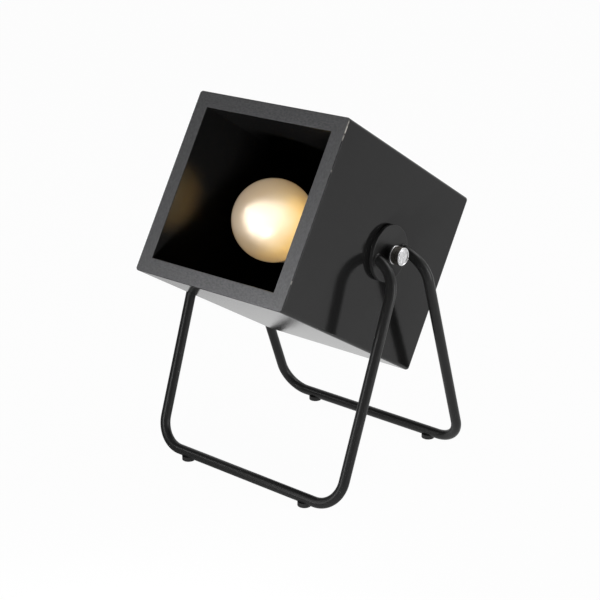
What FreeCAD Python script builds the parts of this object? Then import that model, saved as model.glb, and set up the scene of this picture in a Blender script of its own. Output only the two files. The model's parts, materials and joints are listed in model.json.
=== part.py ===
import FreeCAD, Part
import math
import os

from FreeCAD import Rotation, Vector

# Tabletop searchlight lamp: a square box head held between two plates on a bent-wire stand
# Lengths are in millimetres and angles in degrees
# X runs to the right as seen from the front, Y to the back and Z up, from the table under
# the lamp's middle

# Box head
housing_width = 142.0
housing_height = 142.0
housing_depth = 174.0
wall_thickness = 12.0
back_panel_thickness = 12.0
front_edge_radius = 0.8
opening_edge_radius = 0.6
long_edge_radius = 2.4
back_edge_radius = 2.5
head_tilt = 31.0
pivot_behind_middle = 5.0
pivot_above_middle = 1.0

# Pivot on each side of the head
stud_diameter = 6.0
insert_diameter = 9.0
insert_length = 10.5
washer_diameter = 34.0
washer_thickness = 1.5
plate_diameter = 42.6
plate_thickness = 3.0
plate_edge_radius = 0.5
running_clearance = 0.05

# Thumb nut on each stud
collar_diameter = 13.0
collar_length = 3.7
collar_chamfer = 0.4
nut_clearance = 0.3
nut_diameter = 14.0
nut_length = 7.0
nut_rim_width = 1.0
nut_rim_chamfer = 0.35
knurl_depth = 0.4
knurl_count = 40
nut_thread_depth = 5.5
stud_end_gap = 0.4
nut_face_thickness = 1.0
nut_face_chamfer = 0.5

# Wire stand
wire_diameter = 8.0
pivot_above_crossbar = 173.0
leg_top_standoff = 18.7
leg_top_reach = 15.2
leg_splay = 3.7
crossbar_reach = 77.5
upper_bend_radius = 24.5
lower_bend_radius = 22.0
weld_width = 1.2
weld_height = 1.3

# Stub feet pegged into the crossbars
foot_diameter = 10.4
foot_below_wire = 2.0
foot_wrap_height = 1.6
foot_edge_radius = 0.5
foot_inboard = 31.0
foot_peg_diameter = 3.0
foot_peg_depth = 3.5

# Lamp holder, from the back panel forwards
holder_below_middle = 3.5
tube_diameter = 10.0
tube_bore = 7.8
tube_hole_clearance = 0.1
tube_outside_length = 8.0
tube_washer_diameter = 18.0
tube_washer_thickness = 1.0
tube_nut_across_flats = 14.0
tube_nut_thickness = 3.0
nut_to_holder_gap = 6.0
holder_diameter = 40.0
holder_wall = 1.8
holder_neck_diameter = 16.0
holder_neck_length = 6.0
holder_cap_length = 20.0
holder_skirt_length = 36.0
skirt_rim_radius = 0.8
insulator_length = 12.0
insulator_behind_joint = 3.5
insulator_clearance = 0.2
boss_diameter = 11.0
boss_length = 2.2
screw_shell_length = 25.0
screw_shell_wall = 0.6
screw_clearance = 0.3
contact_leaf_width = 5.0
contact_leaf_thickness = 0.6
contact_tail_length = 3.0
contact_gap = 0.2
side_contact_reach = 6.0
terminal_spacing = 20.0
terminal_screw_diameter = 3.0
terminal_screw_length = 5.0
terminal_head_diameter = 5.6
terminal_head_height = 2.0

# Bulb, from the contact tip forwards
contact_tip_diameter = 9.0
contact_tip_length = 1.4
cap_insulator_length = 4.0
cap_insulator_front_diameter = 23.0
cap_insulator_back_diameter = 11.0
screw_cap_diameter = 26.2
screw_cap_length = 20.0
screw_cap_wall = 0.5
thread_pitch = 3.6
thread_depth = 0.8
bulb_housing_length = 34.0
bulb_neck_diameter = 28.4
bulb_shoulder_length = 7.0
bulb_shoulder_diameter = 51.6
bulb_housing_wall = 2.0
globe_diameter = 62.0
globe_seam_diameter = 53.0
globe_wall = 1.2
board_diameter = 44.0
board_thickness = 1.6
chip_size = 3.6
chip_height = 0.8
chip_circle_diameter = 26.0
chip_count = 8

# Cord inlet on the back
gland_flange_diameter = 22.0
gland_flange_thickness = 3.0
gland_diameter = 18.0
gland_tip_diameter = 14.0
gland_length = 20.0
gland_taper_length = 6.0
gland_bore = 7.2
gland_screw_diameter = 3.0
gland_screw_end_gap = 0.5
gland_screw_proud = 0.6
gland_screw_inset = 5.0

# Places worked out from the sizes above
AXIS_X = Vector(1, 0, 0)
AXIS_Y = Vector(0, 1, 0)
AXIS_Z = Vector(0, 0, 1)
wire_radius = wire_diameter / 2
pivot_height = foot_below_wire + wire_radius + pivot_above_crossbar
housing_front = -housing_depth / 2 - pivot_behind_middle
housing_back = housing_front + housing_depth
housing_top = housing_height / 2 - pivot_above_middle
housing_bottom = housing_top - housing_height
side_face = housing_width / 2
plate_inner = side_face + washer_thickness
plate_outer = plate_inner + plate_thickness
collar_end = plate_outer + collar_length
nut_inner = collar_end + nut_clearance
nut_outer = nut_inner + nut_length
stud_bore_radius = stud_diameter / 2 + running_clearance
leg_top_half_width = plate_outer + leg_top_standoff
crossbar_half_width = leg_top_half_width - leg_splay
foot_half_width = crossbar_half_width - foot_inboard
holder_height = housing_bottom + housing_height / 2 - holder_below_middle

back_inner = housing_back - back_panel_thickness
tube_nut_front = back_inner - tube_washer_thickness - tube_nut_thickness
holder_back = tube_nut_front - nut_to_holder_gap
holder_joint = holder_back - holder_cap_length
holder_rim = holder_joint - holder_skirt_length
insulator_back = holder_joint + insulator_behind_joint
insulator_front = insulator_back - insulator_length
boss_front = insulator_front - boss_length
leaf_front = boss_front - contact_leaf_thickness
tip_back = leaf_front - contact_gap
tip_front = tip_back - contact_tip_length
cap_insulator_front = tip_front - cap_insulator_length
screw_cap_front = cap_insulator_front - screw_cap_length
globe_seam = screw_cap_front - bulb_housing_length
globe_radius = globe_diameter / 2
globe_centre = globe_seam - math.sqrt(globe_radius ** 2 - (globe_seam_diameter / 2) ** 2)
screw_shell_radius = screw_cap_diameter / 2 + screw_clearance
holder_inner_radius = holder_diameter / 2 - holder_wall


def corner_reach(along, across, edge_radius):
    """How far a rounded corner of the tilted box stands out level from the pivot line."""
    angle = math.radians(head_tilt)
    return ((along - edge_radius) * math.cos(angle)
            + (across - edge_radius) * math.sin(angle) + edge_radius)


# The stand is set so that the origin lies under the middle of the whole lamp
front_reach = corner_reach(-housing_front, -housing_bottom, front_edge_radius)
back_reach = corner_reach(housing_back, housing_top, back_edge_radius)
stand_middle = (front_reach - back_reach) / 2
pivot_point = Vector(0, stand_middle, pivot_height)


def cylinder(diameter, length, start, direction):
    """A round bar from start along direction."""
    return Part.makeCylinder(diameter / 2, length, start, direction)


def ring(outer, inner, length, start, direction):
    """A round tube from start along direction."""
    return cylinder(outer, length, start, direction).cut(cylinder(inner, length, start, direction))


def bar_along_x(diameter, start_x, end_x):
    """A round bar on the pivot line between two distances from the middle."""
    return cylinder(diameter, end_x - start_x, Vector(start_x, 0, 0), AXIS_X)


def turned(profile):
    """A solid turned about the holder's line from points of (place along it, radius)."""
    points = [Vector(0, along, radius) for along, radius in profile]
    face = Part.Face(Part.makePolygon(points + [points[0]]))
    solid = face.revolve(Vector(0, 0, 0), AXIS_Y, 360)
    solid.translate(Vector(0, 0, holder_height))
    return solid


def turned_edges(edges):
    """A solid turned about the holder's line from a closed loop of edges."""
    face = Part.Face(Part.Wire(edges))
    solid = face.revolve(Vector(0, 0, 0), AXIS_Y, 360)
    solid.translate(Vector(0, 0, holder_height))
    return solid


def on_holder_line(along, radius=0.0, angle=0.0):
    """A point beside the holder's line: angle 0 is above it, 90 to its right."""
    turn = math.radians(angle)
    return Vector(radius * math.sin(turn), along, holder_height + radius * math.cos(turn))


def on_head(shape):
    """Tilt a piece of the head nose up and lift it to the pivot."""
    placed = shape.copy()
    placed.rotate(Vector(0, 0, 0), AXIS_X, -head_tilt)
    placed.translate(pivot_point)
    return placed


def on_pivot(shape):
    """Lift a piece that is round about the pivot line to the pivot."""
    placed = shape.copy()
    placed.translate(pivot_point)
    return placed


def turned_round(shape):
    """The same piece at the other side of the stand."""
    placed = shape.copy()
    placed.rotate(pivot_point, AXIS_Z, 180)
    return placed


def housing_block():
    """The outer form of the box with its rounded edges."""
    corner = Vector(-housing_width / 2, housing_front, housing_bottom)
    block = Part.makeBox(housing_width, housing_depth, housing_height, corner)
    back_edges = [edge for edge in block.Edges
                  if abs(edge.CenterOfMass.y - housing_back) < 1e-6]
    block = block.makeFillet(back_edge_radius, back_edges)
    long_edges = [edge for edge in block.Edges if edge.BoundBox.YLength > housing_depth / 2]
    block = block.makeFillet(long_edge_radius, long_edges)
    front_edges = [edge for edge in block.Edges if edge.BoundBox.YMax < housing_front + 1e-6]
    return block.makeFillet(front_edge_radius, front_edges)


def mitred_wall(block, outer_a, outer_b, inner_b, inner_a):
    """One wall of the box, cut off at 45 degrees along its two long edges."""
    points = [Vector(x, housing_front, z) for x, z in (outer_a, outer_b, inner_b, inner_a)]
    face = Part.Face(Part.makePolygon(points + [points[0]]))
    wall = block.common(face.extrude(Vector(0, housing_depth, 0)))
    opening_middle = (points[2] + points[3]) / 2
    opening_edges = [edge for edge in wall.Edges
                     if edge.CenterOfMass.distanceToPoint(opening_middle) < 1e-6]
    return wall.makeFillet(opening_edge_radius, opening_edges)


def make_housing():
    """Four mitred walls and the back panel let in between them."""
    block = housing_block()
    left, right = -side_face, side_face
    inner_left, inner_right = left + wall_thickness, right - wall_thickness
    inner_top, inner_bottom = housing_top - wall_thickness, housing_bottom + wall_thickness
    outer = {"tl": (left, housing_top), "tr": (right, housing_top),
             "bl": (left, housing_bottom), "br": (right, housing_bottom)}
    inner = {"tl": (inner_left, inner_top), "tr": (inner_right, inner_top),
             "bl": (inner_left, inner_bottom), "br": (inner_right, inner_bottom)}
    walls = {}
    for name, a, b in (("top", "tl", "tr"), ("bottom", "br", "bl"),
                       ("left", "bl", "tl"), ("right", "tr", "br")):
        walls[name] = mitred_wall(block, outer[a], outer[b], inner[b], inner[a])
    insert_hole = bar_along_x(insert_diameter, side_face - insert_length, side_face)
    walls["right"] = walls["right"].cut(insert_hole)
    walls["left"] = walls["left"].cut(insert_hole.mirror(Vector(0, 0, 0), AXIS_X))
    back = Part.makeBox(inner_right - inner_left, back_panel_thickness, inner_top - inner_bottom,
                        Vector(inner_left, back_inner, inner_bottom))
    tube_hole = cylinder(tube_diameter + 2 * tube_hole_clearance, back_panel_thickness,
                         on_holder_line(back_inner), AXIS_Y)
    walls["back"] = back.cut(tube_hole)
    return {"housing_" + name + "_panel": on_head(wall) for name, wall in walls.items()}


def make_pivot_hardware():
    """Insert, stud and friction washer of the right side, all fixed to the head."""
    insert_inner = side_face - insert_length
    insert = bar_along_x(insert_diameter, insert_inner, side_face)
    insert = insert.cut(bar_along_x(stud_diameter, insert_inner, side_face))
    stud = bar_along_x(stud_diameter, insert_inner, nut_inner + nut_thread_depth)
    washer = bar_along_x(washer_diameter, side_face, plate_inner)
    washer = washer.cut(bar_along_x(2 * stud_bore_radius, side_face, plate_inner))
    return {"pivot_insert": insert, "pivot_stud": stud, "friction_washer": washer}


def make_pivot_plate():
    """Round steel plate that the wire tops are welded on."""
    plate = bar_along_x(plate_diameter, plate_inner, plate_outer)
    rims = [edge for edge in plate.Edges if abs(edge.Length - math.pi * plate_diameter) < 1e-3]
    plate = plate.makeFillet(plate_edge_radius, rims)
    return plate.cut(bar_along_x(2 * stud_bore_radius, plate_inner, plate_outer))


def make_nut_collar():
    """Black collar between the plate and the thumb nut."""
    collar = bar_along_x(collar_diameter, plate_outer, collar_end)
    rims = [edge for edge in collar.Edges if abs(edge.CenterOfMass.x - collar_end) < 1e-6]
    collar = collar.makeChamfer(collar_chamfer, rims)
    return collar.cut(bar_along_x(2 * stud_bore_radius, plate_outer, collar_end))


def make_thumb_nut():
    """Bright nut: a plain rim, a grip of straight flutes and a second rim."""
    points = []
    for step in range(2 * knurl_count):
        radius = nut_diameter / 2 - knurl_depth * (step % 2)
        angle = math.pi * step / knurl_count
        points.append(Vector(nut_inner, radius * math.cos(angle), radius * math.sin(angle)))
    grip = Part.Face(Part.makePolygon(points + [points[0]])).extrude(AXIS_X * nut_length)
    nut = grip
    for start in (nut_inner, nut_outer - nut_rim_width):
        rim = bar_along_x(nut_diameter, start, start + nut_rim_width)
        rim = rim.makeChamfer(nut_rim_chamfer, [edge for edge in rim.Edges
                                                if edge.BoundBox.XLength < 1e-6])
        slot = bar_along_x(nut_diameter + 2 * knurl_depth, start, start + nut_rim_width)
        nut = nut.cut(slot).fuse(rim)
    bore_end = nut_inner + nut_thread_depth + stud_end_gap
    return nut.removeSplitter().cut(bar_along_x(2 * stud_bore_radius, nut_inner, bore_end))


def make_nut_face():
    """Polished end of the thumb nut, with a broad bevel."""
    rim_diameter = nut_diameter - 2 * nut_rim_chamfer
    face = bar_along_x(rim_diameter, nut_outer, nut_outer + nut_face_thickness)
    rims = [edge for edge in face.Edges
            if abs(edge.CenterOfMass.x - nut_outer - nut_face_thickness) < 1e-6]
    return face.makeChamfer(nut_face_chamfer, rims)


def bent_path(corners, radii):
    """A wire of straight runs joined by arcs, one radius for each inner corner."""
    edges = []
    start = corners[0]
    for before, corner, after, radius in zip(corners, corners[1:], corners[2:], radii):
        back = (before - corner).normalize()
        ahead = (after - corner).normalize()
        half = back.getAngle(ahead) / 2
        tangent = radius / math.tan(half)
        middle_line = (back + ahead).normalize()
        centre = corner + middle_line * (radius / math.sin(half))
        first, last = corner + back * tangent, corner + ahead * tangent
        edges.append(Part.LineSegment(start, first).toShape())
        edges.append(Part.Arc(first, centre - middle_line * radius, last).toShape())
        start = last
    edges.append(Part.LineSegment(start, corners[-1]).toShape())
    return Part.Wire(edges)


def leg_direction():
    """Which way the front right leg runs from its top to its crossbar corner."""
    return Vector(-leg_splay, leg_top_reach - crossbar_reach, -pivot_above_crossbar).normalize()


def weld_centre():
    """Where the front right wire's line meets the outer face of the plate."""
    inward = leg_direction()
    inward = (inward - AXIS_X * inward.dot(AXIS_X)).normalize()
    turn = AXIS_X.getAngle(leg_direction())
    arc_start = leg_top_half_width - upper_bend_radius * math.tan(turn / 2)
    along = max(plate_outer - arc_start, 0.0)
    drop = upper_bend_radius - math.sqrt(upper_bend_radius ** 2 - along ** 2)
    return Vector(plate_outer, -leg_top_reach, 0) + inward * drop


def make_front_leg_frame():
    """One U of wire, its tops bent inwards and welded on the two plates."""
    turn = AXIS_X.getAngle(leg_direction())
    tangent = upper_bend_radius * math.tan(turn / 2)
    top_start = min(leg_top_half_width - tangent, plate_outer) - wire_radius
    corners = [(top_start, -leg_top_reach, 0),
               (leg_top_half_width, -leg_top_reach, 0),
               (crossbar_half_width, -crossbar_reach, -pivot_above_crossbar)]
    right = [Vector(x, y, z) for x, y, z in corners]
    left = [Vector(-x, y, z) for x, y, z in reversed(corners)]
    path = bent_path(right + left, [upper_bend_radius, lower_bend_radius,
                                    lower_bend_radius, upper_bend_radius])
    section = Part.Face(Part.Wire(Part.makeCircle(wire_radius, right[0], AXIS_X)))
    frame = path.makePipe(section)
    clear_height = 4 * wire_diameter
    between_plates = Part.makeBox(2 * plate_outer, 2 * crossbar_reach, clear_height,
                                  Vector(-plate_outer, -crossbar_reach, -clear_height / 2))
    frame = frame.cut(between_plates)
    weld = Part.makeCone(wire_radius + weld_width, wire_radius, weld_height, weld_centre(), AXIS_X)
    frame = frame.fuse(weld).fuse(weld.mirror(Vector(0, 0, 0), AXIS_X))
    frame = on_pivot(frame)
    for side in (-1, 1):
        frame = frame.cut(foot_peg(side, foot_peg_depth))
    return frame


def foot_peg(side, depth):
    """The peg of a front foot, up to a depth inside the crossbar."""
    base = Vector(side * foot_half_width, stand_middle - crossbar_reach, foot_below_wire / 2)
    return cylinder(foot_peg_diameter, foot_below_wire / 2 + depth, base, AXIS_Z)


def make_front_foot(side):
    """A round stub that cups the underside of the crossbar and is pegged into it."""
    base = Vector(side * foot_half_width, stand_middle - crossbar_reach, 0)
    stub = cylinder(foot_diameter, foot_below_wire + foot_wrap_height, base, AXIS_Z)
    rims = [edge for edge in stub.Edges if abs(edge.CenterOfMass.z) < 1e-6]
    stub = stub.makeFillet(foot_edge_radius, rims)
    bar_centre = base + Vector(-foot_diameter, 0, foot_below_wire + wire_radius)
    stub = stub.cut(cylinder(wire_diameter, 2 * foot_diameter, bar_centre, AXIS_X))
    return stub.fuse(foot_peg(side, foot_peg_depth))


def make_stand():
    """Two plates, two leg frames and four feet, welded and pegged into one rigid stand."""
    plate = on_pivot(make_pivot_plate())
    front = make_front_leg_frame()
    pieces = {"right_pivot_plate": plate, "left_pivot_plate": turned_round(plate),
              "front_leg_frame": front, "rear_leg_frame": turned_round(front)}
    for side, front_name, rear_name in ((-1, "front_left_foot", "rear_right_foot"),
                                        (1, "front_right_foot", "rear_left_foot")):
        foot = make_front_foot(side)
        pieces[front_name] = foot
        pieces[rear_name] = turned_round(foot)
    return pieces


def make_sides():
    """The pieces on the pivot line, made for the right side and turned round for the left."""
    right = make_pivot_hardware()
    right["nut_collar"] = make_nut_collar()
    right["thumb_nut"] = make_thumb_nut()
    right["nut_face"] = make_nut_face()
    pieces = {}
    for name, shape in right.items():
        placed = on_pivot(shape)
        pieces["right_" + name] = placed
        pieces["left_" + name] = turned_round(placed)
    return pieces


def make_holder_tube():
    """Hollow threaded tube through the back panel, with its washer and hexagon nut."""
    tube_front = holder_back - holder_neck_length
    tube_length = housing_back + tube_outside_length - tube_front
    tube = ring(tube_diameter, tube_bore, tube_length, on_holder_line(tube_front), AXIS_Y)
    washer = ring(tube_washer_diameter, tube_diameter, tube_washer_thickness,
                  on_holder_line(back_inner - tube_washer_thickness), AXIS_Y)
    corner_radius = tube_nut_across_flats / math.sqrt(3)
    corners = [on_holder_line(tube_nut_front, corner_radius, 60 * step) for step in range(7)]
    nut = Part.Face(Part.makePolygon(corners)).extrude(AXIS_Y * tube_nut_thickness)
    nut = nut.cut(cylinder(tube_diameter, tube_nut_thickness,
                           on_holder_line(tube_nut_front), AXIS_Y))
    return {"holder_tube": tube, "holder_tube_washer": washer, "holder_tube_nut": nut}


def make_holder_cap():
    """Domed rear half of the holder, threaded on the tube."""
    outer, inner = holder_diameter / 2, holder_inner_radius
    neck_outer, neck_inner = holder_neck_diameter / 2, tube_diameter / 2
    neck_front = holder_back - holder_neck_length
    shoulder = (holder_joint + neck_front) / 2
    return turned([(holder_joint, inner), (holder_joint, outer), (shoulder, outer),
                   (neck_front, neck_outer + holder_wall), (neck_front, neck_outer),
                   (holder_back, neck_outer), (holder_back, neck_inner),
                   (neck_front - holder_wall, neck_inner), (neck_front - holder_wall, neck_outer),
                   (shoulder - holder_wall / 2, inner)])


def make_holder_skirt():
    """Straight front half of the holder round the screw shell."""
    outer, inner = holder_diameter / 2, holder_inner_radius
    skirt = turned([(holder_rim, inner), (holder_rim, outer),
                    (holder_joint, outer), (holder_joint, inner)])
    rims = [edge for edge in skirt.Edges if abs(edge.CenterOfMass.y - holder_rim) < 1e-6
            and abs(edge.Length - 2 * math.pi * outer) < 1e-3]
    return skirt.makeFillet(skirt_rim_radius, rims)


def contact_tail(radius, front):
    """A flat strip that runs back through the insulator, above the holder's line."""
    corner = on_holder_line(front, radius) - Vector(contact_leaf_width / 2, 0, 0)
    length = insulator_back + contact_tail_length - front
    return Part.makeBox(contact_leaf_width, length, contact_leaf_thickness, corner)


def terminal_screw(side):
    """A screw in the insulator's back face, its head standing out behind it."""
    base = on_holder_line(insulator_back, 0) + AXIS_X * (side * terminal_spacing / 2)
    shank = cylinder(terminal_screw_diameter, terminal_screw_length, base, -AXIS_Y)
    head = cylinder(terminal_head_diameter, terminal_head_height, base, AXIS_Y)
    return shank.fuse(head)


def make_holder_inside():
    """Insulator, screw shell, two contacts and two terminal screws."""
    insulator_radius = holder_inner_radius - insulator_clearance
    insulator = turned([(insulator_back, 0), (insulator_back, insulator_radius),
                        (insulator_front, insulator_radius),
                        (insulator_front, boss_diameter / 2), (boss_front, boss_diameter / 2),
                        (boss_front, 0)])
    shell_outer = screw_shell_radius + screw_shell_wall
    shell_front = insulator_front - screw_shell_length
    base_hole = boss_diameter / 2 + insulator_clearance
    shell = turned([(shell_front, screw_shell_radius), (shell_front, shell_outer),
                    (insulator_front, shell_outer), (insulator_front, base_hole),
                    (insulator_front - screw_shell_wall, base_hole),
                    (insulator_front - screw_shell_wall, screw_shell_radius)])
    centre_tail = contact_tail(-contact_leaf_thickness / 2, boss_front)
    leaf = cylinder(contact_tip_diameter, contact_leaf_thickness,
                    on_holder_line(leaf_front), AXIS_Y)
    side_tail = contact_tail(shell_outer, insulator_front - side_contact_reach)
    insulator = insulator.cut(centre_tail).cut(side_tail)
    screws = [terminal_screw(side) for side in (-1, 1)]
    for screw in screws:
        insulator = insulator.cut(screw)
    return {"lamp_holder_insulator": insulator, "lamp_holder_screw_shell": shell,
            "lamp_holder_centre_contact": leaf.fuse(centre_tail),
            "lamp_holder_side_contact": side_tail,
            "lamp_holder_terminal_screws": Part.makeCompound(screws)}


def make_globe():
    """Opal diffuser: a hollow ball cut off at the seam with the bulb's housing."""
    inner_radius = globe_radius - globe_wall
    outer_seam = Vector(0, globe_seam, globe_seam_diameter / 2)
    inner_seam_radius = math.sqrt(inner_radius ** 2 - (globe_seam - globe_centre) ** 2)
    inner_seam = Vector(0, globe_seam, inner_seam_radius)
    crown = Vector(0, globe_centre, 0)
    outer_pole, inner_pole = crown - AXIS_Y * globe_radius, crown - AXIS_Y * inner_radius
    outer = Part.Arc(outer_seam, crown + AXIS_Z * globe_radius, outer_pole)
    inner = Part.Arc(inner_pole, crown + AXIS_Z * inner_radius, inner_seam)
    return turned_edges([outer.toShape(), Part.LineSegment(outer_pole, inner_pole).toShape(),
                         inner.toShape(), Part.LineSegment(inner_seam, outer_seam).toShape()])


def make_bulb_housing():
    """White neck of the bulb: a hollow body that narrows to the screw cap."""
    seam_radius, neck_radius = globe_seam_diameter / 2, bulb_neck_diameter / 2
    shoulder = globe_seam + bulb_shoulder_length
    shoulder_radius = bulb_shoulder_diameter / 2
    waist = (shoulder + 2 * screw_cap_front) / 3
    waist_radius = neck_radius + (shoulder_radius - neck_radius) * 0.2
    start, end = Vector(0, shoulder, shoulder_radius), Vector(0, screw_cap_front, neck_radius)
    curve = Part.Arc(start, Vector(0, waist, waist_radius), end).toShape()
    seat = globe_seam + board_thickness
    seat_radius, floor = board_diameter / 2, seat + bulb_housing_wall
    loop = [(screw_cap_front, neck_radius), (screw_cap_front, 0), (seat, 0), (seat, seat_radius),
            (globe_seam, seat_radius), (globe_seam, seam_radius), (shoulder, shoulder_radius)]
    points = [Vector(0, along, radius) for along, radius in loop]
    edges = [Part.LineSegment(a, b).toShape() for a, b in zip(points, points[1:])]
    body = turned_edges([curve] + edges)
    hollow = turned([(floor, 0), (floor, neck_radius - bulb_housing_wall),
                     (screw_cap_front, neck_radius - bulb_housing_wall), (screw_cap_front, 0)])
    return body.cut(hollow)


def make_screw_cap():
    """Thin metal cap with a rounded thread, drawn as ridges one pitch apart."""
    crest = screw_cap_diameter / 2
    root = crest - thread_depth
    back_radius = cap_insulator_front_diameter / 2
    outer = [(screw_cap_front, crest), (screw_cap_front + thread_pitch / 2, crest)]
    along = screw_cap_front + thread_pitch
    while along + thread_pitch < cap_insulator_front:
        outer += [(along, root), (along + thread_pitch / 4, root),
                  (along + thread_pitch / 2, crest), (along + 3 * thread_pitch / 4, crest)]
        along += thread_pitch
    outer += [(cap_insulator_front - thread_pitch / 4, root), (cap_insulator_front, back_radius)]
    bore = root - screw_cap_wall
    lip = back_radius - screw_cap_wall
    inner = [(cap_insulator_front, lip), (cap_insulator_front - thread_pitch / 4, lip),
             (cap_insulator_front - thread_pitch / 2, bore), (screw_cap_front, bore)]
    return turned(outer + inner)


def make_bulb():
    """Globe, housing, light board with its chips, and the three pieces of the cap."""
    board = cylinder(board_diameter, board_thickness, on_holder_line(globe_seam), AXIS_Y)
    chips = []
    for step in range(chip_count):
        centre = on_holder_line(globe_seam, chip_circle_diameter / 2, 360 * step / chip_count)
        corner = centre - Vector(chip_size / 2, chip_height, chip_size / 2)
        chips.append(Part.makeBox(chip_size, chip_height, chip_size, corner))
    cap_insulator = turned([(cap_insulator_front, 0),
                            (cap_insulator_front, cap_insulator_front_diameter / 2),
                            (tip_front, cap_insulator_back_diameter / 2), (tip_front, 0)])
    tip_radius = contact_tip_diameter / 2
    tip = turned([(tip_front, 0), (tip_front, tip_radius),
                  (tip_back - contact_tip_length / 2, tip_radius), (tip_back, tip_radius / 2),
                  (tip_back, 0)])
    return {"bulb_globe": make_globe(), "bulb_housing": make_bulb_housing(),
            "bulb_led_board": board, "bulb_led_chips": Part.makeCompound(chips),
            "bulb_screw_cap": make_screw_cap(), "bulb_cap_insulator": cap_insulator,
            "bulb_contact_tip": tip}


def make_cable_gland():
    """Round cord inlet screwed on the tube's outer end, and its clamping screw."""
    gland_end = housing_back + gland_length
    taper_start = gland_end - gland_taper_length
    pocket_end = housing_back + tube_outside_length
    body_radius, bore_radius = gland_diameter / 2, gland_bore / 2
    body = turned([(housing_back, tube_diameter / 2), (housing_back, gland_flange_diameter / 2),
                   (housing_back + gland_flange_thickness, gland_flange_diameter / 2),
                   (housing_back + gland_flange_thickness, body_radius),
                   (taper_start, body_radius), (gland_end, gland_tip_diameter / 2),
                   (gland_end, bore_radius), (pocket_end, bore_radius),
                   (pocket_end, tube_diameter / 2)])
    screw_start = bore_radius + gland_screw_end_gap
    screw_place = taper_start - gland_screw_inset + gland_screw_diameter / 2
    screw = cylinder(gland_screw_diameter, body_radius + gland_screw_proud - screw_start,
                     on_holder_line(screw_place, screw_start), AXIS_Z)
    return {"cable_gland": body.cut(screw), "cable_gland_screw": screw}


def make_pieces():
    """Every piece of the lamp by name, in its place."""
    pieces = make_housing()
    in_head = {}
    in_head.update(make_holder_tube())
    in_head["lamp_holder_cap"] = make_holder_cap()
    in_head["lamp_holder_skirt"] = make_holder_skirt()
    in_head.update(make_holder_inside())
    in_head.update(make_bulb())
    in_head.update(make_cable_gland())
    pieces.update({name: on_head(shape) for name, shape in in_head.items()})
    pieces.update(make_sides())
    pieces.update(make_stand())
    return pieces


def main():
    """Make and write every piece, and print the places that the record repeats."""
    os.makedirs("parts", exist_ok=True)
    for name, shape in sorted(make_pieces().items()):
        solids = shape.Solids
        whole = solids[0] if len(solids) == 1 else Part.makeCompound(solids)
        if not whole.isValid():
            raise ValueError(name + " is not a sound solid")
        whole.exportStep("parts/" + name + ".step")
        print(name, len(solids), "solid, volume", round(whole.Volume, 1))
    print("pivot at Y", round(stand_middle, 3), "Z", round(pivot_height, 3))
    print("globe centre behind the front", round(globe_centre - housing_front, 2))


main()
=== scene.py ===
"""The looks of a tabletop searchlight lamp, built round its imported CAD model.

The lamp is an open-fronted box of painted board with a lit globe bulb in it. It tilts between two
round plates on a stand of bent wire, and a thumb nut clamps it at each end of the pivot line.
Lengths are metres in the frame of the CAD model, and millimetres where a name ends in _mm.
"""

from __future__ import annotations

import json
import logging
import math
from dataclasses import dataclass
from enum import Enum

import bpy
import numpy as np
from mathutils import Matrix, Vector

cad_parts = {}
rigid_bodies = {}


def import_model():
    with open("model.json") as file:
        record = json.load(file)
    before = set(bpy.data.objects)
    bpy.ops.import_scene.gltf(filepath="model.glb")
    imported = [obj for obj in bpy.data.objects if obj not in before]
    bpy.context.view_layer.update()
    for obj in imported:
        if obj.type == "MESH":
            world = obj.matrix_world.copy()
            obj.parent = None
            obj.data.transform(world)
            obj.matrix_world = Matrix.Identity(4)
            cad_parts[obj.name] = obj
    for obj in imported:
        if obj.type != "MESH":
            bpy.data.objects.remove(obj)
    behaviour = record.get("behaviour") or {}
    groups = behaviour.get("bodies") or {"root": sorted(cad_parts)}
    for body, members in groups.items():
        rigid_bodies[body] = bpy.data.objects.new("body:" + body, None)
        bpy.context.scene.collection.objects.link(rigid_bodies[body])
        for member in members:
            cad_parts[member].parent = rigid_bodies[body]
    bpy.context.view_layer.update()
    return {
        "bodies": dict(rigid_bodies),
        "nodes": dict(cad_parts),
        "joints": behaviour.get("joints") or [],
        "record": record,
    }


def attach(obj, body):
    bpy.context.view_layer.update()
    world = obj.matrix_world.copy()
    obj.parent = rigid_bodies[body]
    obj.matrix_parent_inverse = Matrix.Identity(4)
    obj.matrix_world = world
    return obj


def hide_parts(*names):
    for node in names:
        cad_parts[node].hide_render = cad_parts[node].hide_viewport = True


LOG = logging.getLogger("searchlight")
MM = 0.001
NOISE_SPAN = {"From Min": 0.3, "From Max": 0.7}


class Body(Enum):
    """The moving bodies of the CAD model."""

    STAND = "stand"
    HEAD = "lamp_head"
    BULB = "bulb"
    RIGHT_NUT = "right_nut"
    LEFT_NUT = "left_nut"


class Side(Enum):
    """An end of the pivot line, as the sign of its X."""

    RIGHT = 1
    LEFT = -1


class Grain(Enum):
    """Which way the fibres of a sawn board edge run, as their stretch along X, Y and Z."""

    ALONG_X = (0.45, 1.0, 1.0)
    ALONG_Z = (1.0, 1.0, 0.45)


def linear(hex_colour: str) -> tuple[float, float, float, float]:
    """Turns an sRGB hex colour to the linear colour that shaders take.

    Args:
        hex_colour: Six hex digits after a hash sign.

    Returns:
        Red, green and blue from 0 to 1, and an alpha of 1.
    """
    values = [int(hex_colour[i : i + 2], 16) / 255 for i in (1, 3, 5)]
    red, green, blue = (v / 12.92 if v <= 0.04045 else ((v + 0.055) / 1.055) ** 2.4 for v in values)
    return red, green, blue, 1.0


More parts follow.
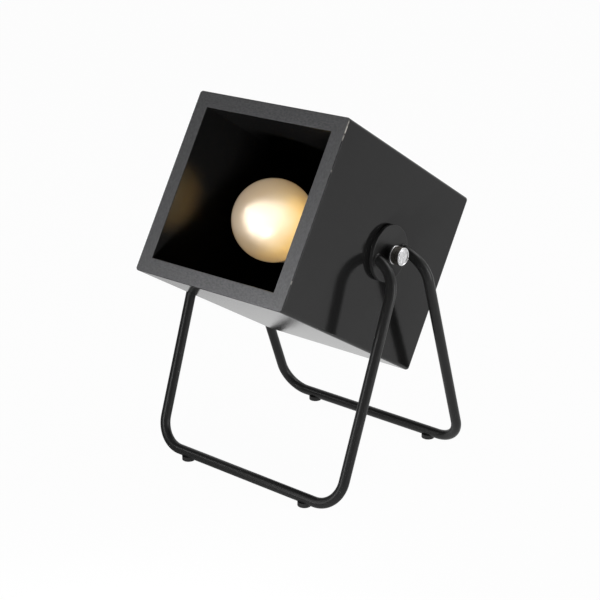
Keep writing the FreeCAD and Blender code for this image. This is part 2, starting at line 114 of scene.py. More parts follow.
def set_inputs(
    tree: bpy.types.NodeTree, node: bpy.types.Node, inputs: dict[str | int, object]
) -> None:
    """Sets or links the inputs of a shader node.

    Args:
        tree: The node's tree.
        node: The node.
        inputs: A value, an output socket, or a node whose first output is meant, by the name or
            number of the input it goes to.
    """
    for key, value in inputs.items():
        if isinstance(value, bpy.types.Node):
            value = value.outputs[0]
        if isinstance(value, bpy.types.NodeSocket):
            tree.links.new(value, node.inputs[key])
        else:
            node.inputs[key].default_value = value


def add_node(
    tree: bpy.types.NodeTree,
    kind: str,
    inputs: dict[str | int, object] | None = None,
    **settings: object,
) -> bpy.types.Node:
    """Adds one shader node with its settings and its links.

    Args:
        tree: The node tree to add to.
        kind: The node's type without its ShaderNode prefix.
        inputs: What goes into it, as set_inputs takes it.
        settings: Attributes of the node itself.

    Returns:
        The new node.
    """
    node = tree.nodes.new("ShaderNode" + kind)
    for name, value in settings.items():
        setattr(node, name, value)
    set_inputs(tree, node, inputs or {})
    return node


@dataclass(frozen=True)
class HeadPlace:
    """Where the tilted head stands: its pivot and how far its nose is up.

    The head's own frame has its origin on the pivot, Y to its back and Z square to its top.
    """

    pivot: Vector
    tilt: float

    @classmethod
    def of_record(cls, frame: dict) -> HeadPlace:
        """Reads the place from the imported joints, whose bulb joint points out of the box."""
        joints = {joint["name"]: joint for joint in frame["joints"]}
        axis = joints["bulb_turn"]["axis"]
        return cls(Vector(joints["head_tilt"]["pos_m"]), math.atan2(axis[2], -axis[1]))

    def to_world(self, points: np.ndarray) -> np.ndarray:
        """Places points of the head: turned nose up about X, then moved to the pivot.

        Args:
            points: Points in the head's frame, with X, Y and Z last.

        Returns:
            The same points in the CAD frame.
        """
        cosine, sine = math.cos(self.tilt), math.sin(self.tilt)
        x, y, z = points[..., 0], points[..., 1], points[..., 2]
        turned = np.stack([x, y * cosine + z * sine, z * cosine - y * sine], axis=-1)
        return turned + np.array(self.pivot)

    def coordinates(self, tree: bpy.types.NodeTree) -> bpy.types.Node:
        """Adds nodes that give a shader the head's own coordinates in millimetres.

        Args:
            tree: The material's node tree.

        Returns:
            The node that gives them.
        """
        cosine, sine = math.cos(self.tilt), math.sin(self.tilt)
        x, y, z = self.pivot
        inputs = {
            "Vector": add_node(tree, "TexCoord").outputs["Object"],
            "Location": (-x / MM, -(y * cosine - z * sine) / MM, -(y * sine + z * cosine) / MM),
            "Rotation": (self.tilt, 0.0, 0.0),
            "Scale": (1 / MM, 1 / MM, 1 / MM),
        }
        return add_node(tree, "Mapping", inputs)


@dataclass(frozen=True)
class Finish:
    """A finish: the name of what it really is, and the record's slot that it shows."""

    name: str
    slot: str

    def dress(self, tree: bpy.types.NodeTree, shader: bpy.types.Node) -> None:
        """Sets the shader's sockets and adds the finish's patterns."""
        raise NotImplementedError

    def material(self) -> bpy.types.Material:
        """Makes the material, or finds it if it was made before.

        Returns:
            The material.
        """
        made = bpy.data.materials.get(self.name)
        if made is None:
            made = bpy.data.materials.new(self.name)
            made.use_nodes = True
            tree = made.node_tree
            tree.nodes.clear()
            shader = add_node(tree, "BsdfPrincipled")
            add_node(tree, "OutputMaterial", {"Surface": shader})
            self.dress(tree, shader)
        return made


@dataclass(frozen=True)
class Coat:
    """How a paint looks on one kind of surface: its tone, its roughness and its specular level."""

    colour: str
    roughness: float
    shine: float


@dataclass(frozen=True)
class BoardPaint(Finish):
    """Satin black lacquer sprayed on fibreboard.

    The faces are smooth with a faint orange peel that blurs what they mirror. The sawn front edges
    drink the paint, so they stay rougher and greyer and their fibres show. Inside the box the tone
    is darker, painted shade for the hollow of the box, and the peel is stronger. A knock here and
    there has rubbed the front corners back to grey. The fibres are drawn coarser than the real
    0.2 mm, so that they show.
    """

    place: HeadPlace
    grain: Grain
    front_mm: float
    half_width_mm: float
    inner_half_mm: float
    face: Coat = Coat("#181818", 0.12, 0.29)
    # The inner coat's darker tone is painted shade for the hollow of the box.
    inner: Coat = Coat("#0D0D0D", 0.2, 0.6)
    edge: Coat = Coat("#4A4A4B", 0.6, 0.1)
    rub_colour: str = "#A39F99"
    peel_mm: float = 1.5
    fibre_mm: float = 0.9
    cloud_mm: float = 35.0
    fibre_tones: tuple[float, float] = (0.78, 1.24)
    cloud_tones: tuple[float, float] = (0.93, 1.07)
    relief_mm: float = 0.04
    face_relief: float = 0.5
    inner_relief: float = 1.0
    edge_start_mm: float = 0.03
    edge_reach_mm: float = 0.15
    inner_start_mm: float = 0.6
    inner_end_mm: float = 0.1
    knock_mm: float = 9.0
    knock_level: float = 0.6
    knock_fade: float = 0.08
    rub_reach_mm: float = 0.7
    rub_fade_mm: float = 0.3
    handled_mm: float = 52.0
    handled_fade_mm: float = 3.0
    handled_gain: float = 0.2

    def dress(self, tree: bpy.types.NodeTree, shader: bpy.types.Node) -> None:
        """Sets the paint's tones and patterns, with each surface told by its place in the head."""
        head = self.place.coordinates(tree)
        apart = add_node(tree, "SeparateXYZ", {"Vector": head})
        sawn = self.sawn(tree, apart)
        inside = self.inside(tree, apart)
        along = add_node(tree, "Mapping", {"Vector": head, "Scale": self.grain.value})
        peel, fibre, cloud = (
            add_node(tree, "TexNoise", {"Vector": place, "Scale": 1 / size, "Detail": detail})
            for place, size, detail in (
                (head, self.peel_mm, 2.0),
                (along, self.fibre_mm, 3.0),
                (head, self.cloud_mm, 3.0),
            )
        )
        # Towards the inside the tone turns to the inner coat's darker one: painted shade for the
        # hollow.
        lacquer = add_node(
            tree,
            "Mix",
            {0: inside, 6: linear(self.face.colour), 7: linear(self.inner.colour)},
            data_type="RGBA",
        )
        tones = []
        for noise, colour, span in (
            (cloud, lacquer.outputs[2], self.cloud_tones),
            (fibre, linear(self.edge.colour)[:3], self.fibre_tones),
        ):
            tones_span = {"To Min": span[0], "To Max": span[1]}
            share = add_node(tree, "MapRange", {"Value": noise, **NOISE_SPAN, **tones_span})
            tone = add_node(tree, "VectorMath", {0: colour, "Scale": share}, operation="SCALE")
            tones.append(tone)
        paint = add_node(tree, "Mix", {0: sawn, 6: tones[0], 7: tones[1]}, data_type="RGBA")
        rubbed = self.rubbed(tree, apart)
        tone = add_node(
            tree,
            "Mix",
            {0: rubbed, 6: paint.outputs[2], 7: linear(self.rub_colour)},
            data_type="RGBA",
        )
        height = add_node(tree, "Mix", {0: sawn, 2: peel, 3: fibre}, data_type="FLOAT")
        reliefs = {"To Min": self.face_relief, "To Max": self.inner_relief}
        strength = add_node(tree, "MapRange", {"Value": inside, **reliefs})
        bump = add_node(
            tree,
            "Bump",
            {"Height": height, "Strength": strength, "Distance": self.relief_mm * MM},
        )
        set_inputs(tree, shader, {"Base Color": tone.outputs[2], "Normal": bump, "IOR": 1.46})
        for socket, face, inner, edge in (
            ("Roughness", self.face.roughness, self.inner.roughness, self.edge.roughness),
            ("Specular IOR Level", self.face.shine, self.inner.shine, self.edge.shine),
        ):
            smooth = add_node(tree, "MapRange", {"Value": inside, "To Min": face, "To Max": inner})
            level = add_node(tree, "Mix", {0: sawn, 2: smooth, 3: edge}, data_type="FLOAT")
            set_inputs(tree, shader, {socket: level})

    def sawn(self, tree: bpy.types.NodeTree, apart: bpy.types.Node) -> bpy.types.Node:
        """Adds the mask of the sawn front edges, told by their Y.

        Args:
            tree: The material's node tree.
            apart: The node that holds the head's X, Y and Z.

        Returns:
            The node of the mask, 1 on the front edges.
        """
        start = self.front_mm + self.edge_start_mm
        inputs = {
            "Value": apart.outputs["Y"],
            "From Min": start,
            "From Max": start + self.edge_reach_mm,
            "To Min": 1.0,
            "To Max": 0.0,
        }
        return add_node(tree, "MapRange", inputs, interpolation_type="SMOOTHSTEP")

    def inside(self, tree: bpy.types.NodeTree, apart: bpy.types.Node) -> bpy.types.Node:
        """Adds the mask of the faces inside the box, told by the larger of their X and Z.

        Args:
            tree: The material's node tree.
            apart: The node that holds the head's X, Y and Z.

        Returns:
            The node of the mask, 1 inside the box.
        """
        across, above = (
            add_node(tree, "Math", {0: apart.outputs[axis]}, operation="ABSOLUTE") for axis in "XZ"
        )
        out = add_node(tree, "Math", {0: across, 1: above}, operation="MAXIMUM")
        start = self.inner_half_mm + self.inner_start_mm
        end = self.inner_half_mm + self.inner_end_mm
        return add_node(tree, "MapRange", {"Value": out, "From Min": start, "From Max": end})

    def rubbed(self, tree: bpy.types.NodeTree, apart: bpy.types.Node) -> bpy.types.Node:
        """Adds the mask of the rubbed spots on the front corners of the side walls.

        A spot lies on the round of the outer front corner, within the reach of both its faces,
        where a noise is high. Hands that tilt the box take it near the top, where the noise needs
        to be less high.

        Args:
            tree: The material's node tree.
            apart: The node that holds the head's X, Y and Z.

        Returns:
            The node of the mask, 1 where the paint is rubbed.
        """
        across = add_node(tree, "Math", {0: apart.outputs["X"]}, operation="ABSOLUTE")
        side = self.half_width_mm - self.rub_reach_mm
        front = self.front_mm + self.rub_reach_mm
        out, ahead = (
            add_node(tree, "MapRange", {"Value": value, "From Min": start, "From Max": end})
            for value, start, end in (
                (across, side, side + self.rub_fade_mm),
                (apart.outputs["Y"], front, front - self.rub_fade_mm),
            )
        )
        corner = add_node(tree, "Math", {0: out, 1: ahead}, operation="MULTIPLY")
        line = add_node(tree, "CombineXYZ", {"Z": apart.outputs["Z"]})
        knocks = add_node(
            tree, "TexNoise", {"Vector": line, "Scale": 1 / self.knock_mm, "Detail": 4.0}
        )
        handled = add_node(
            tree,
            "MapRange",
            {
                "Value": apart.outputs["Z"],
                "From Min": self.handled_mm,
                "From Max": self.handled_mm + self.handled_fade_mm,
                "To Max": self.handled_gain,
            },
        )
        worn = add_node(tree, "Math", {0: knocks, 1: handled}, operation="ADD")
        levels = {"From Min": self.knock_level, "From Max": self.knock_level + self.knock_fade}
        some = add_node(tree, "MapRange", {"Value": worn, **levels})
        return add_node(tree, "Math", {0: corner, 1: some}, operation="MULTIPLY")


@dataclass(frozen=True)
class Noise:
    """A noise that a two-toned finish follows, with its size in real millimetres.

    Between low and high it runs through the tones, and through the roughness from below to above
    its middle value. It raises the surface by relief_mm times strength. An axis whose stretch is
    under 1 has the pattern drawn out along it.
    """

    size_mm: float
    relief_mm: float
    below: float = 0.05
    above: float = 0.05
    low: float = 0.0
    high: float = 1.0
    detail: float = 2.0
    strength: float = 0.4
    stretch: tuple[float, float, float] = (1.0, 1.0, 1.0)


@dataclass(frozen=True)
class TwoTone(Finish):
    """A finish of two close tones that one noise mixes."""

    colour: str
    shade: str
    roughness: float

    def follow(
        self, tree: bpy.types.NodeTree, shader: bpy.types.Node, noise: Noise
    ) -> bpy.types.NodeSocket:
        """Sets the tone, the roughness and the relief from one noise.

        Args:
            tree: The material's node tree.
            shader: The material's shader.
            noise: What they follow.

        Returns:
            The output that gives the tone.
        """
        place = add_node(
            tree,
            "Mapping",
            {
                "Vector": add_node(tree, "TexCoord").outputs["Object"],
                "Scale": [share / MM for share in noise.stretch],
            },
        )
        grain = add_node(
            tree,
            "TexNoise",
            {"Vector": place, "Scale": 1 / noise.size_mm, "Detail": noise.detail},
        )
        share = add_node(
            tree, "MapRange", {"Value": grain, "From Min": noise.low, "From Max": noise.high}
        )
        tone = add_node(
            tree,
            "Mix",
            {0: share, 6: linear(self.colour), 7: linear(self.shade)},
            data_type="RGBA",
        )
        rough = add_node(
            tree,
            "MapRange",
            {
                "Value": share,
                "To Min": self.roughness - noise.below,
                "To Max": self.roughness + noise.above,
            },
        )
        bump = add_node(
            tree,
            "Bump",
            {"Height": grain, "Strength": noise.strength, "Distance": noise.relief_mm * MM},
        )
        looks = {"Base Color": tone.outputs[2], "Roughness": rough, "Normal": bump}
        set_inputs(tree, shader, looks)
        return tone.outputs[2]


@dataclass(frozen=True)
class PowderCoat(TwoTone):
    """Black powder coat baked on steel: satin, with a fine pebble that breaks up highlights."""

    colour: str = "#0E0E0E"
    shade: str = "#151515"
    roughness: float = 0.32
    pebble_mm: float = 0.7

    def dress(self, tree: bpy.types.NodeTree, shader: bpy.types.Node) -> None:
        """Sets the coat's pebble, drawn coarser than the real 0.2 mm so that it shows."""
        self.follow(tree, shader, Noise(self.pebble_mm, 0.02, above=0.08, strength=0.08))
        set_inputs(tree, shader, {"Specular IOR Level": 0.3})


@dataclass(frozen=True)
class Metal(TwoTone):
    """A bare or plated metal, with the fine lines or clouds that its making left.

    A turned or drawn metal has lines, and a plated one clouds. They vary its tone and roughness.
    On the knurled nut the tones are also darkened: painted reflection of the dark parts round it.
    """

    spread: float = 0.08
    pattern_mm: float = 1.0
    stretch: tuple[float, float, float] = (1.0, 1.0, 1.0)
    bump_mm: float = 0.004

    def dress(self, tree: bpy.types.NodeTree, shader: bpy.types.Node) -> None:
        """Sets the metal's lines or clouds, which only ever make it rougher."""
        noise = Noise(
            self.pattern_mm,
            self.bump_mm,
            below=0.0,
            above=self.spread,
            low=0.35,
            high=0.65,
            detail=3.0,
            stretch=self.stretch,
        )
        self.follow(tree, shader, noise)
        set_inputs(tree, shader, {"Metallic": 1.0})


@dataclass(frozen=True)
class Moulded(TwoTone):
    """A moulded plastic or rubber: even, with the spark-eroded grain of its mould."""

    grain_mm: float = 0.6
    relief_mm: float = 0.02
    glow: float = 0.0

    def dress(self, tree: bpy.types.NodeTree, shader: bpy.types.Node) -> None:
        """Sets the mould's grain, and lets a lit piece glow in its own tone."""
        tone = self.follow(tree, shader, Noise(self.grain_mm, self.relief_mm))
        if self.glow:
            set_inputs(tree, shader, {"Emission Color": tone, "Emission Strength": self.glow})


@dataclass(frozen=True)
class OpalGlobe(Finish):
    """Blown opal glass, frosted inside: it blurs the lit dome behind it to a warm cloud.

    Towards the seam the wall is tinted a darker gold: painted shade, which dims the light it passes
    there. The change starts and ends at the given distances behind the crown, and wanders by a
    little. All of the wall glows faintly with the light that it scatters.
    """

    place: HeadPlace
    crown_mm: float
    clear_mm: float = 5.0
    golden_mm: float = 28.0
    wander_mm: float = 1.2
    cloud_mm: float = 12.0
    crown_colour: str = "#DAD5CD"
    seam_shade_colour: str = "#BEAA76"
    glow_colour: str = "#F2DCC2"
    roughness: float = 0.42
    transmission: float = 0.94
    glow: float = 0.09

    def dress(self, tree: bpy.types.NodeTree, shader: bpy.types.Node) -> None:
        """Sets the frosted transmission, its tint towards the seam and the wall's own glow."""
        head = self.place.coordinates(tree)
        apart = add_node(tree, "SeparateXYZ", {"Vector": head})
        cloud = add_node(
            tree, "TexNoise", {"Vector": head, "Scale": 1 / self.cloud_mm, "Detail": 2.0}
        )
        wander = {"To Min": -self.wander_mm, "To Max": self.wander_mm}
        uneven = add_node(tree, "MapRange", {"Value": cloud, **NOISE_SPAN, **wander})
        along = add_node(tree, "Math", {0: apart.outputs["Y"], 1: uneven}, operation="ADD")
        seam_shade_share = add_node(
            tree,
            "MapRange",
            {
                "Value": along,
                "From Min": self.crown_mm + self.clear_mm,
                "From Max": self.crown_mm + self.golden_mm,
            },
            interpolation_type="SMOOTHSTEP",
        )
        # The tint turns darker and golden towards the seam: painted shade that dims the glass
        # there.
        tint = add_node(
            tree,
            "Mix",
            {0: seam_shade_share, 6: linear(self.crown_colour), 7: linear(self.seam_shade_colour)},
            data_type="RGBA",
        )
        looks = {
            "Base Color": tint.outputs[2],
            "Emission Color": linear(self.glow_colour),
            "Emission Strength": self.glow,
            "Roughness": self.roughness,
            "IOR": 1.5,
            "Transmission Weight": self.transmission,
            "Coat Weight": 0.6,
            "Coat Roughness": 0.08,
        }
        set_inputs(tree, shader, looks)


@dataclass(frozen=True)
class LitSilicone(Finish):
    """Milky silicone lit from inside: white at its tip and warmer towards its thick base."""

    place: HeadPlace
    tip_mm: float
    base_mm: float
    tip_colour: str = "#FFF4E4"
    base_colour: str = "#FFEFD0"
    glow: float = 1.75

    def dress(self, tree: bpy.types.NodeTree, shader: bpy.types.Node) -> None:
        """Sets the glow and its colour along the bulb's line."""
        apart = add_node(tree, "SeparateXYZ", {"Vector": self.place.coordinates(tree)})
        span = {"From Min": self.tip_mm, "From Max": self.base_mm}
        to_base = add_node(tree, "MapRange", {"Value": apart.outputs["Y"], **span})
        warmth = add_node(
            tree,
            "Mix",
            {0: to_base, 6: linear(self.tip_colour), 7: linear(self.base_colour)},
            data_type="RGBA",
        )
        looks = {
            "Base Color": warmth.outputs[2],
            "Emission Color": warmth.outputs[2],
            "Emission Strength": self.glow,
            "Roughness": 0.5,
        }
        set_inputs(tree, shader, looks)


def grid_faces(rows: int, columns: int, wrap_rows: bool, wrap_columns: bool) -> np.ndarray:
    """Joins the points of a grid by quads, in the order row, then column.

    Args:
        rows: How many rows of points there are.
        columns: How many points are in a row.
        wrap_rows: Whether the last row joins the first.
        wrap_columns: Whether each row is a closed loop.

    Returns:
        The point numbers of each quad, one quad a line.
    """
    row = np.arange(rows if wrap_rows else rows - 1)[:, None]
    column = np.arange(columns if wrap_columns else columns - 1)[None, :]
    next_row, next_column = (row + 1) % rows, (column + 1) % columns
    corners = (
        row * columns + column,
        next_row * columns + column,
        next_row * columns + next_column,
        row * columns + next_column,
    )
    return np.stack(np.broadcast_arrays(*corners), axis=-1).reshape(-1, 4)


def surface_piece(
    name: str,
    points: np.ndarray,
    body: Body,
    finish: Finish,
    replaces: tuple[str, ...] = (),
    wrap_rows: bool = False,
    capped: bool = False,
) -> bpy.types.Object:
    """Makes a piece of the lamp from a grid of points whose rows are closed loops.

    Args:
        name: The piece's name.
        points: The grid, as rows of points in the CAD frame.
        body: The body that the piece rides on.
        finish: What covers it.
        replaces: The CAD nodes that it stands for.
        wrap_rows: Whether the last row joins the first.
        capped: Whether the first and last rows are closed by a flat face each.

    Returns:
        The new object.
    """
    rows, columns = points.shape[:2]
    faces = grid_faces(rows, columns, wrap_rows, True).tolist()
    if capped:
        first = list(range(columns))
        last = list(range((rows - 1) * columns, rows * columns))
        faces += [first, last[::-1]]
    mesh = bpy.data.meshes.new(name)
    mesh.from_pydata(points.reshape(-1, 3).tolist(), [], faces)
    mesh.validate()
    mesh.polygons.foreach_set("use_smooth", np.ones(len(mesh.polygons), dtype=bool))
    mesh.update()
    piece = bpy.data.objects.new(name, mesh)
    bpy.context.scene.collection.objects.link(piece)
    mesh.materials.append(finish.material())
    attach(piece, body.value)
    if replaces:
        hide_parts(*replaces)
    LOG.info("%s: %d faces, %s", name, len(faces), finish.name)
    return piece


def dress_nodes(frame: dict, finish: Finish, *names: str) -> None:
    """Gives CAD nodes that keep their shape a finish.

    Args:
        finish: What covers them.
        names: The nodes.
    """
    for name in names:
        node = frame["nodes"][name]
        node.data.materials.clear()
        node.data.materials.append(finish.material())
        LOG.info("%s: CAD shape, %s", name, finish.name)


def turned(profile: np.ndarray, steps: int) -> np.ndarray:
    """Turns a profile about the Y axis: X is radius times sine and Z radius times cosine.

    Args:
        profile: Points of (place along Y, radius), one a line.
        steps: How many points there are round the axis.

    Returns:
        A grid with one closed ring for each point of the profile.
    """
    angle = np.linspace(0.0, 2 * math.pi, steps, endpoint=False)[None, :]
    along, radius = profile[:, 0][:, None], profile[:, 1][:, None]
    return np.stack(
        [radius * np.sin(angle), along + 0 * angle, radius * np.cos(angle)], axis=-1
    )


def turned_on_pivot(profile: np.ndarray, steps: int, side: Side, pivot: Vector) -> np.ndarray:
    """Turns a profile about the pivot line, at its right or left end.

    Args:
        profile: Points of (distance from the middle, radius), one a line.
        steps: How many points there are round the line.
        side: Which end the profile is for.
        pivot: A point of the pivot line at X 0.

    Returns:
        A grid with one closed ring for each point of the profile.
    """
    angle = np.linspace(0.0, 2 * math.pi, steps, endpoint=False)[None, :] * side.value
    along, radius = profile[:, 0][:, None], profile[:, 1][:, None]
    rings = np.stack(
        [side.value * (along + 0 * angle), radius * np.cos(angle), radius * np.sin(angle)], axis=-1
    )
    return rings[:, ::-1] + np.array(pivot)


def round_corner(
    before: np.ndarray, corner: np.ndarray, after: np.ndarray, radius: float, steps: int
) -> np.ndarray:
    """Rounds the corner of a path by an arc that touches both runs.

    The arc's centre lies on the corner's middle line, radius / sin(half angle) from it. Its points
    are turned evenly from one touching point to the other.

    Args:
        before: A point on the run into the corner.
        corner: The corner.
        after: A point on the run out of it.
        radius: The arc's radius.
        steps: How many points the arc has.

    Returns:
        The arc's points in order.
    """
    back = (before - corner) / np.linalg.norm(before - corner)
    ahead = (after - corner) / np.linalg.norm(after - corner)
    half = math.acos(float(back @ ahead)) / 2
    middle = (back + ahead) / np.linalg.norm(back + ahead)
    centre = corner + middle * radius / math.sin(half)
    sweep = math.pi / 2 - half
    across = (ahead - middle * (ahead @ middle)) / np.linalg.norm(ahead - middle * (ahead @ middle))
    angle = np.linspace(-sweep, sweep, steps)[:, None]
    return centre + radius * (across * np.sin(angle) - middle * np.cos(angle))


def tube_along(path: np.ndarray, square: np.ndarray, radius: float, steps: int) -> np.ndarray:
    """Carries a circle along a flat path.

    Each ring is square to the path: it is spanned by the normal of the path's plane and by that
    normal crossed with the path's direction.

    Args:
        path: The path's points, all in one plane.
        square: The unit normal of that plane.
        radius: The circle's radius.
        steps: How many points a ring has.

    Returns:
        A grid with one closed ring for each point of the path.
    """
    direction = np.gradient(path, axis=0)
    direction /= np.linalg.norm(direction, axis=1, keepdims=True)
    aside = np.cross(direction, square)
    angle = np.linspace(0.0, 2 * math.pi, steps, endpoint=False)[None, :, None]
    return path[:, None, :] + radius * (
        square[None, None, :] * np.sin(angle) + aside[:, None, :] * np.cos(angle)
    )


@dataclass
class Housing:
    """The open-fronted box: five painted panels whose shapes are the CAD model's."""

    place: HeadPlace
    front_mm: float = -92.0
    half_width_mm: float = 71.0
    inner_half_mm: float = 59.0

    def paint(self, grain: Grain) -> BoardPaint:
        """Gives the paint of a board whose front edge runs along the grain."""
        name = "satin_black_lacquer_on_fibreboard_" + grain.name.lower()
        sizes = (self.front_mm, self.half_width_mm, self.inner_half_mm)
        return BoardPaint(name, "painted_board", self.place, grain, *sizes)

    def build(self, frame: dict) -> None:
        """Dresses the level and the upright boards."""
        level = ("housing_top_panel", "housing_bottom_panel", "housing_back_panel")
        dress_nodes(frame, self.paint(Grain.ALONG_X), *level)
        upright = ("housing_left_panel", "housing_right_panel")
        dress_nodes(frame, self.paint(Grain.ALONG_Z), *upright)


@dataclass
class Bulb:
    """The lit globe bulb: opal globe, white neck, threaded cap and the lit board inside."""

    place: HeadPlace
    line_height: float = -4.5 * MM
    globe_radius: float = 31.0 * MM
    globe_centre: float = -46.99 * MM
    globe_wall: float = 1.2 * MM
    crown_gap: float = 0.002
    seam: float = -30.9 * MM
    neck_end: float = 3.1 * MM
    neck_radius: float = 14.2 * MM
    shoulder: float = -23.9 * MM
    shoulder_radius: float = 25.8 * MM
    dome_base: float = -33.2 * MM
    dome_tip: float = -75.5 * MM
    dome_radius: float = 17.5 * MM
    dome_drop: float = 3.0 * MM
    cap_end: float = 23.1 * MM
    cap_radius: float = 13.1 * MM
    thread_pitch: float = 3.6 * MM
    thread_depth: float = 0.8 * MM

    def on_line(self, points: np.ndarray) -> np.ndarray:
        """Places points that are turned about the bulb's own line."""
        return self.place.to_world(points + np.array([0.0, 0.0, self.line_height]))

    def globe(self) -> None:
        """Makes the globe as a shell.

        Both walls are circles about the globe's centre, from the seam to the crown outside and back
        inside, and the seam's edge joins them. A tiny ring, crown_gap radians from each pole, keeps
        the crown smooth.
        """
        height = self.seam - self.globe_centre
        inner_radius = self.globe_radius - self.globe_wall
        pole, near_pole = -math.pi / 2, -math.pi / 2 + self.crown_gap
        outer = np.append(np.linspace(math.asin(height / self.globe_radius), near_pole, 56), pole)
        inner = np.append(pole, np.linspace(near_pole, math.asin(height / inner_radius), 48))
        walls = [
            np.stack([np.sin(angle), np.cos(angle)], axis=1) * radius
            for angle, radius in ((outer, self.globe_radius), (inner, inner_radius))
        ]
        profile = np.concatenate(walls)
        profile[:, 1] = np.maximum(profile[:, 1], 0.002 * MM)
        profile[:, 0] += self.globe_centre
        crown_mm = (self.globe_centre - self.globe_radius) / MM
        finish = OpalGlobe("opal_glass_frosted_inside", "opal", self.place, crown_mm)
        points = self.on_line(turned(profile, 128))
        surface_piece(
            "bulb_opal_globe", points, Body.BULB, finish, ("bulb_globe",), wrap_rows=True
        )

    def neck(self) -> None:
        """Makes the white neck, whose radius falls from shoulder to cap by a smooth S."""
        share = np.linspace(0.0, 1.0, 28)
        fall = share * share * (3 - 2 * share)
        along = self.shoulder + (self.neck_end - self.shoulder) * share
        radius = self.shoulder_radius + (self.neck_radius - self.shoulder_radius) * fall**0.8
        rim = np.array([[0.2, 22.2], [0.2, 26.1], [0.5, 26.5], [1.2, 26.55]]) * MM
        rim[:, 0] += self.seam
        end = np.array([[self.neck_end, self.neck_radius - 2 * MM]])
        profile = np.concatenate([rim, np.stack([along, radius], axis=1), end])
        finish = Moulded(
            "white_polycarbonate_bulb_neck", "white_plastic", "#E9E4DA", "#E2DCD0", 0.3, 0.8, 0.01
        )
        points = self.on_line(turned(profile[::-1], 96))
        surface_piece("bulb_white_neck", points, Body.BULB, finish, ("bulb_housing",))

    def cap(self) -> None:
        """Makes the threaded cap: its radius is a rounded wave along a helix.

        The wave's phase is the place along the cap over the pitch, less the turn about it. It fades
        out over the first 0.12 and the last 0.08 of the cap, and past 0.93 the cap is drawn in.
        """
        steps, rows = 96, 90
        along = np.linspace(self.neck_end, self.cap_end, rows)[:, None]
        angle = np.linspace(0.0, 2 * math.pi, steps, endpoint=False)[None, :]
        phase = 2 * math.pi * (along - self.neck_end) / self.thread_pitch - angle
        share = (along - self.neck_end) / (self.cap_end - self.neck_end)
        fade = np.clip(share / 0.12, 0, 1) * np.clip((1 - share) / 0.08, 0, 1)
        ridge = (0.5 - 0.5 * np.cos(phase)) * fade
        drawn_in = 20 * np.clip(share - 0.93, 0, 1)
        radius = self.cap_radius - self.thread_depth * (ridge + drawn_in)
        points = np.stack(
            [radius * np.sin(angle), along + 0 * angle, radius * np.cos(angle)], axis=-1
        )
        finish = Metal(
            "nickel_plated_rolled_cap", "nickel_plated", "#B9B5AC", "#A29C90", 0.25, 0.1, 2.0
        )
        surface_piece(
            "bulb_threaded_cap", self.on_line(points[::-1]), Body.BULB, finish, ("bulb_screw_cap",)
        )

    def dome(self) -> None:
        """Makes the milky dome over the board, which spreads the light of the chips.

        It sits a little under the bulb's line, as the bright cloud in the photograph does.

        Its radius is the base radius times the square root of one less the share of its height to
        the power 2.2, so it is full at the base and blunt at the tip.
        """
        share = np.sin(np.linspace(0.0, math.pi / 2, 40))
        along = self.dome_base + (self.dome_tip - self.dome_base) * share
        radius = self.dome_radius * np.sqrt(np.maximum(1 - share**2.2, 1e-8))
        start = np.array([[self.dome_base, 0.01 * MM]])
        profile = np.concatenate([start, np.stack([along, radius], axis=1)])
        finish = LitSilicone(
            "lit_milky_silicone", "opal", self.place, self.dome_tip / MM, self.dome_base / MM
        )
        points = turned(profile, 96) - np.array([0.0, 0.0, self.dome_drop])
        surface_piece("bulb_milky_dome", self.on_line(points), Body.BULB, finish, wrap_rows=True)

    def build(self, frame: dict) -> None:
        """Makes the bulb's new pieces and dresses the nodes that stay."""
        self.globe()
        self.neck()
        self.cap()
        self.dome()
        dress_nodes(
            frame,
            Moulded("lit_white_circuit_board", "aluminium", "#FFE9A8", "#FFECB4", 0.5, glow=1.5),
            "bulb_led_board",
        )
        dress_nodes(
            frame,
            Moulded("lit_yellow_phosphor", "phosphor", "#FFE9C6", "#FFE4BA", 0.4, glow=4.0),
            "bulb_led_chips",
        )
        dress_nodes(
            frame,
            Moulded("black_vitrite_insulator", "black_plastic", "#0D0D0E", "#141415", 0.15),
            "bulb_cap_insulator",
        )
        dress_nodes(
            frame,
            Metal("stamped_brass_contact", "brass", "#C9A560", "#B08D4A", 0.28, 0.1, 0.8),
            "bulb_contact_tip",
        )


@dataclass
class LampHolder:
    """The holder on its threaded tube, and the cord inlet at the tube's far end."""

    def build(self, frame: dict) -> None:
        """Dresses the holder's shell, its metal inside, its tube and the inlet."""
        bakelite = Moulded(
            "black_bakelite_holder_shell", "black_plastic", "#0E0E0E", "#161616", 0.3, 0.9, 0.01
        )
        dress_nodes(frame, bakelite, "lamp_holder_cap", "lamp_holder_skirt")
        ceramic = Moulded(
            "cream_steatite_insulator", "cream_plastic", "#CFC6B2", "#BFB59E", 0.6, 0.7
        )
        dress_nodes(frame, ceramic, "lamp_holder_insulator")
        brass = Metal("pressed_brass_sheet", "brass", "#C6A25C", "#A9863F", 0.26, 0.12, 1.2)
        dress_nodes(
            frame,
            brass,
            "lamp_holder_screw_shell",
            "lamp_holder_centre_contact",
            "lamp_holder_side_contact",
            "lamp_holder_terminal_screws",
        )
        zinc = Metal("bright_zinc_plated_steel", "zinc_plated_steel", "#B8BCC0", "#A3A7AC", 0.3)
        dress_nodes(frame, zinc, "holder_tube", "holder_tube_nut", "holder_tube_washer")
        nylon = Moulded("black_nylon_cord_grip", "black_plastic", "#121212", "#1A1A1A", 0.42, 0.5)
        dress_nodes(frame, nylon, "cable_gland", "cable_gland_screw")


